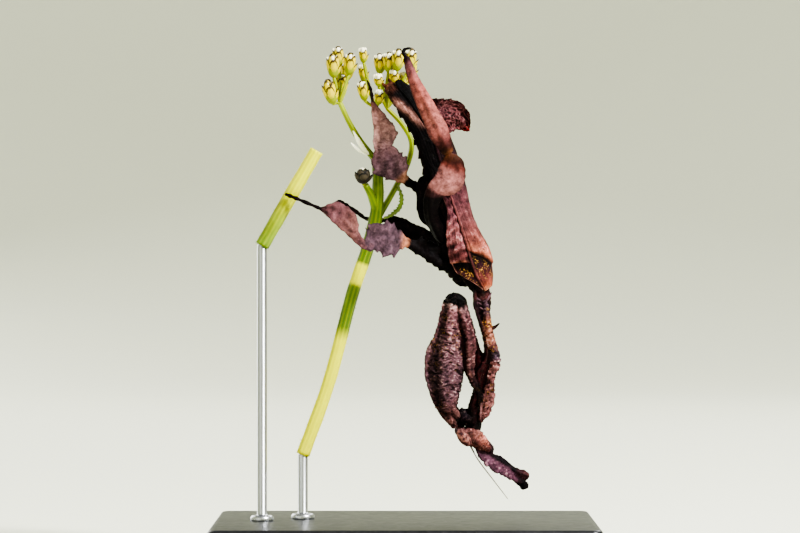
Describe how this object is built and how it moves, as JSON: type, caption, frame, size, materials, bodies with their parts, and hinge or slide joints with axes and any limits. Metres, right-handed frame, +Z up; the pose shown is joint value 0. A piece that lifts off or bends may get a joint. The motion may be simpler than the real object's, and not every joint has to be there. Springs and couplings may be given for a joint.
{
  "type": "ghost mantis model",
  "caption": "Life-size ghost mantis in dead-leaf form, hanging head down from cut plant stems held by thin rods on a flat display base.",
  "frame": {"origin": "middle of the underside of the stand's base", "axes": "+Z up; +X to the right as the animal's right flank is viewed, along the base's longer side; -Y towards the viewer"},
  "size_m": [0.042, 0.028, 0.057],
  "materials": {
    "cuticle": "dry leaf-brown insect cuticle, matt, finely wrinkled",
    "eye": "faceted eye, pale pinkish brown, soft gloss",
    "crest": "thin leafy head process, purple brown, matt",
    "antenna": "thread-like feeler, dull olive brown",
    "dark_cuticle": "black brown cuticle in the folds and feet",
    "abdomen": "dark brown, soft ringed cuticle",
    "wing": "leathery forewing, brown with raised veins and golden flecks",
    "foreleg": "cross-wrinkled cuticle, purple brown with paler ridges",
    "walking_leg": "dark leg with leafy lobes",
    "leg_lobe": "dry leafy lobe, mauve brown",
    "stem": "ribbed green plant stem, faintly downy",
    "bud": "closed flower bud with dark-edged bracts",
    "leaf": "toothed green leaf",
    "stand": "black satin display base",
    "rod": "thin steel rod"
  },
  "bodies": {
    "root": {"head": "cuticle", "eye_left": "eye", "eye_right": "eye", "crest": "crest", "antenna_left": "antenna", "antenna_right": "antenna", "mouthparts": "dark_cuticle", "neck": "dark_cuticle", "pronotum": "cuticle", "thorax": "dark_cuticle", "abdomen": "abdomen", "forewing_left": "wing", "forewing_right": "wing", "foreleg_coxa_right": "foreleg", "foreleg_femur_right": "foreleg", "foreleg_tibia_right": "foreleg", "foreleg_tarsus_right": "dark_cuticle", "foreleg_coxa_left": "foreleg", "foreleg_femur_left": "foreleg", "foreleg_tibia_left": "foreleg", "foreleg_tarsus_left": "dark_cuticle", "midleg_right_femur": "walking_leg", "midleg_right_tibia": "leg_lobe", "midleg_right_tarsus": "dark_cuticle", "midleg_left_femur": "walking_leg", "midleg_left_tibia": "leg_lobe", "midleg_left_tarsus": "dark_cuticle", "hindleg_right_femur": "walking_leg", "hindleg_right_tibia": "leg_lobe", "hindleg_right_tarsus": "dark_cuticle", "hindleg_left_femur": "walking_leg", "hindleg_left_tibia": "leg_lobe", "hindleg_left_tarsus": "dark_cuticle", "perch_stem": "stem", "perch_shoot_left": "stem", "perch_shoot_centre": "stem", "perch_shoot_right": "stem", "perch_bud": "bud", "perch_leaf": "leaf", "perch_second_stem": "stem", "stand_base": "stand", "stand_rod_main": "rod", "stand_rod_second": "rod"}
  },
  "joints": []
}
